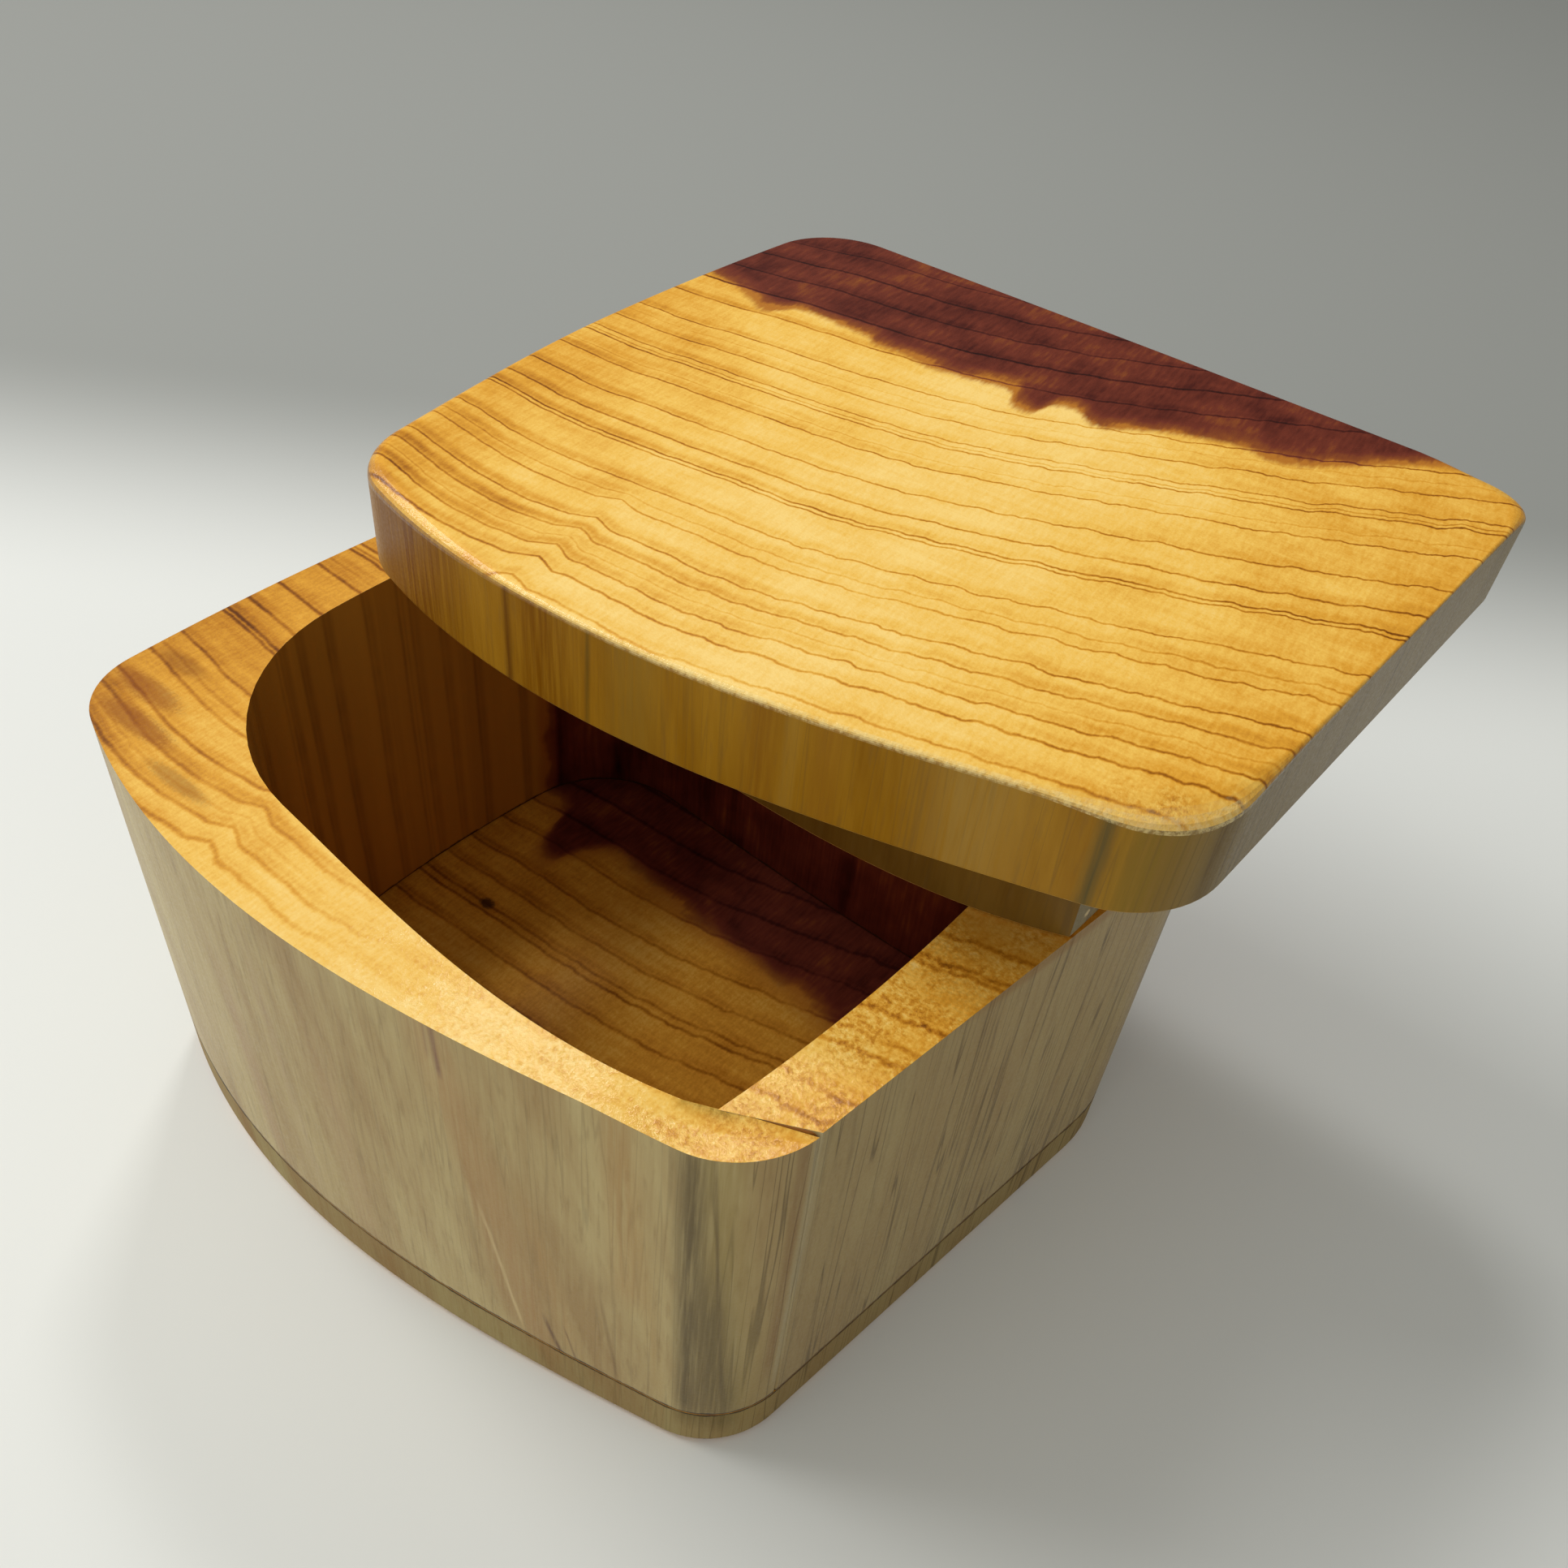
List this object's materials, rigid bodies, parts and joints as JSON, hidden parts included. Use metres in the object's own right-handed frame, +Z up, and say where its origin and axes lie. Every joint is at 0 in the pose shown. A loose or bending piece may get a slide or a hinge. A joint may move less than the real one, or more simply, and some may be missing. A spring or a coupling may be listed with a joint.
{
  "type": "lidded keepsake box",
  "caption": "Bandsaw-cut cedar keepsake box with bowed sides, a rounded cavity and a loose lift-off lid located by a plug, shown askew.",
  "frame": {"origin": "on the underside of the base, at the centre of the rectangle that the plan's four corners are set out in", "axes": "+Z up, the long bowed front facing -Y, the straight right side facing +X"},
  "size_m": [0.1479, 0.1596, 0.1031],
  "materials": {
    "base_wood": "clear satin lacquer over pale sapwood",
    "wall_wood": "clear satin lacquer over golden sapwood",
    "lid_wood": "clear satin lacquer over golden end grain with a dark red heartwood edge",
    "plug_wood": "thin clear lacquer",
    "dried_glue": "hardened wood glue under lacquer"
  },
  "bodies": {
    "box": {"base_panel": "base_wood", "base_glue_line": "dried_glue", "box_wall": "wall_wood", "kerf_glue_seam": "dried_glue"},
    "lid": {"lid_panel": "lid_wood", "plug_glue_film": "dried_glue", "lid_plug": "plug_wood"}
  },
  "joints": [
    {"name": "lid_lift", "type": "slide", "parent": "box", "child": "lid", "axis": [0, 0, 1], "range_m": [0, 0.08]}
  ]
}
